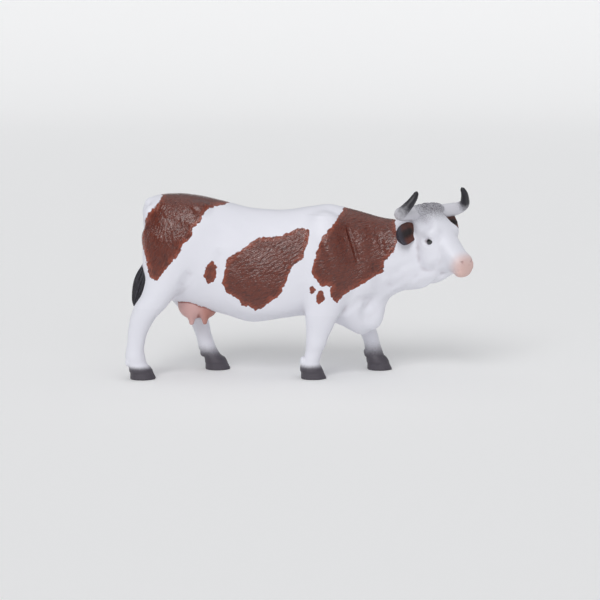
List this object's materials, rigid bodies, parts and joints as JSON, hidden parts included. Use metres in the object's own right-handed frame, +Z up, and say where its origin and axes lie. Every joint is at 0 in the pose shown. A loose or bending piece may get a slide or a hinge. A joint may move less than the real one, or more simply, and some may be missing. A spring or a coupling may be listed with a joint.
{
  "type": "cow figurine",
  "caption": "Moulded toy cow with horns, walking with its head turned to its right; trunk halves, legs, head, horns, ears, tail and udder plug together with pegs.",
  "frame": {"origin": "middle of the figure's overall box, on the table plane under the soles", "axes": "+X forward along the trunk, +Y to the cow's left, +Z up"},
  "size_m": [0.1294, 0.035, 0.0708],
  "materials": {
    "coat_paint": "satin white paint with brown patches on moulded PVC",
    "leg_paint": "satin white paint fading to black-grey hooves on moulded PVC",
    "horn_paint": "satin white paint with black tips on moulded PVC",
    "ear_paint": "satin dark brown paint on moulded PVC",
    "tail_paint": "satin white paint with a black switch on moulded PVC",
    "udder_paint": "satin pink paint on moulded PVC"
  },
  "bodies": {
    "root": {"trunk_left_half": "coat_paint", "trunk_right_half": "coat_paint", "head_and_neck": "coat_paint", "horn_left": "horn_paint", "horn_right": "horn_paint", "ear_left": "ear_paint", "ear_right": "ear_paint", "tail": "tail_paint", "udder": "udder_paint", "foreleg_left": "leg_paint", "foreleg_right": "leg_paint", "hindleg_left": "leg_paint", "hindleg_right": "leg_paint"}
  },
  "joints": []
}
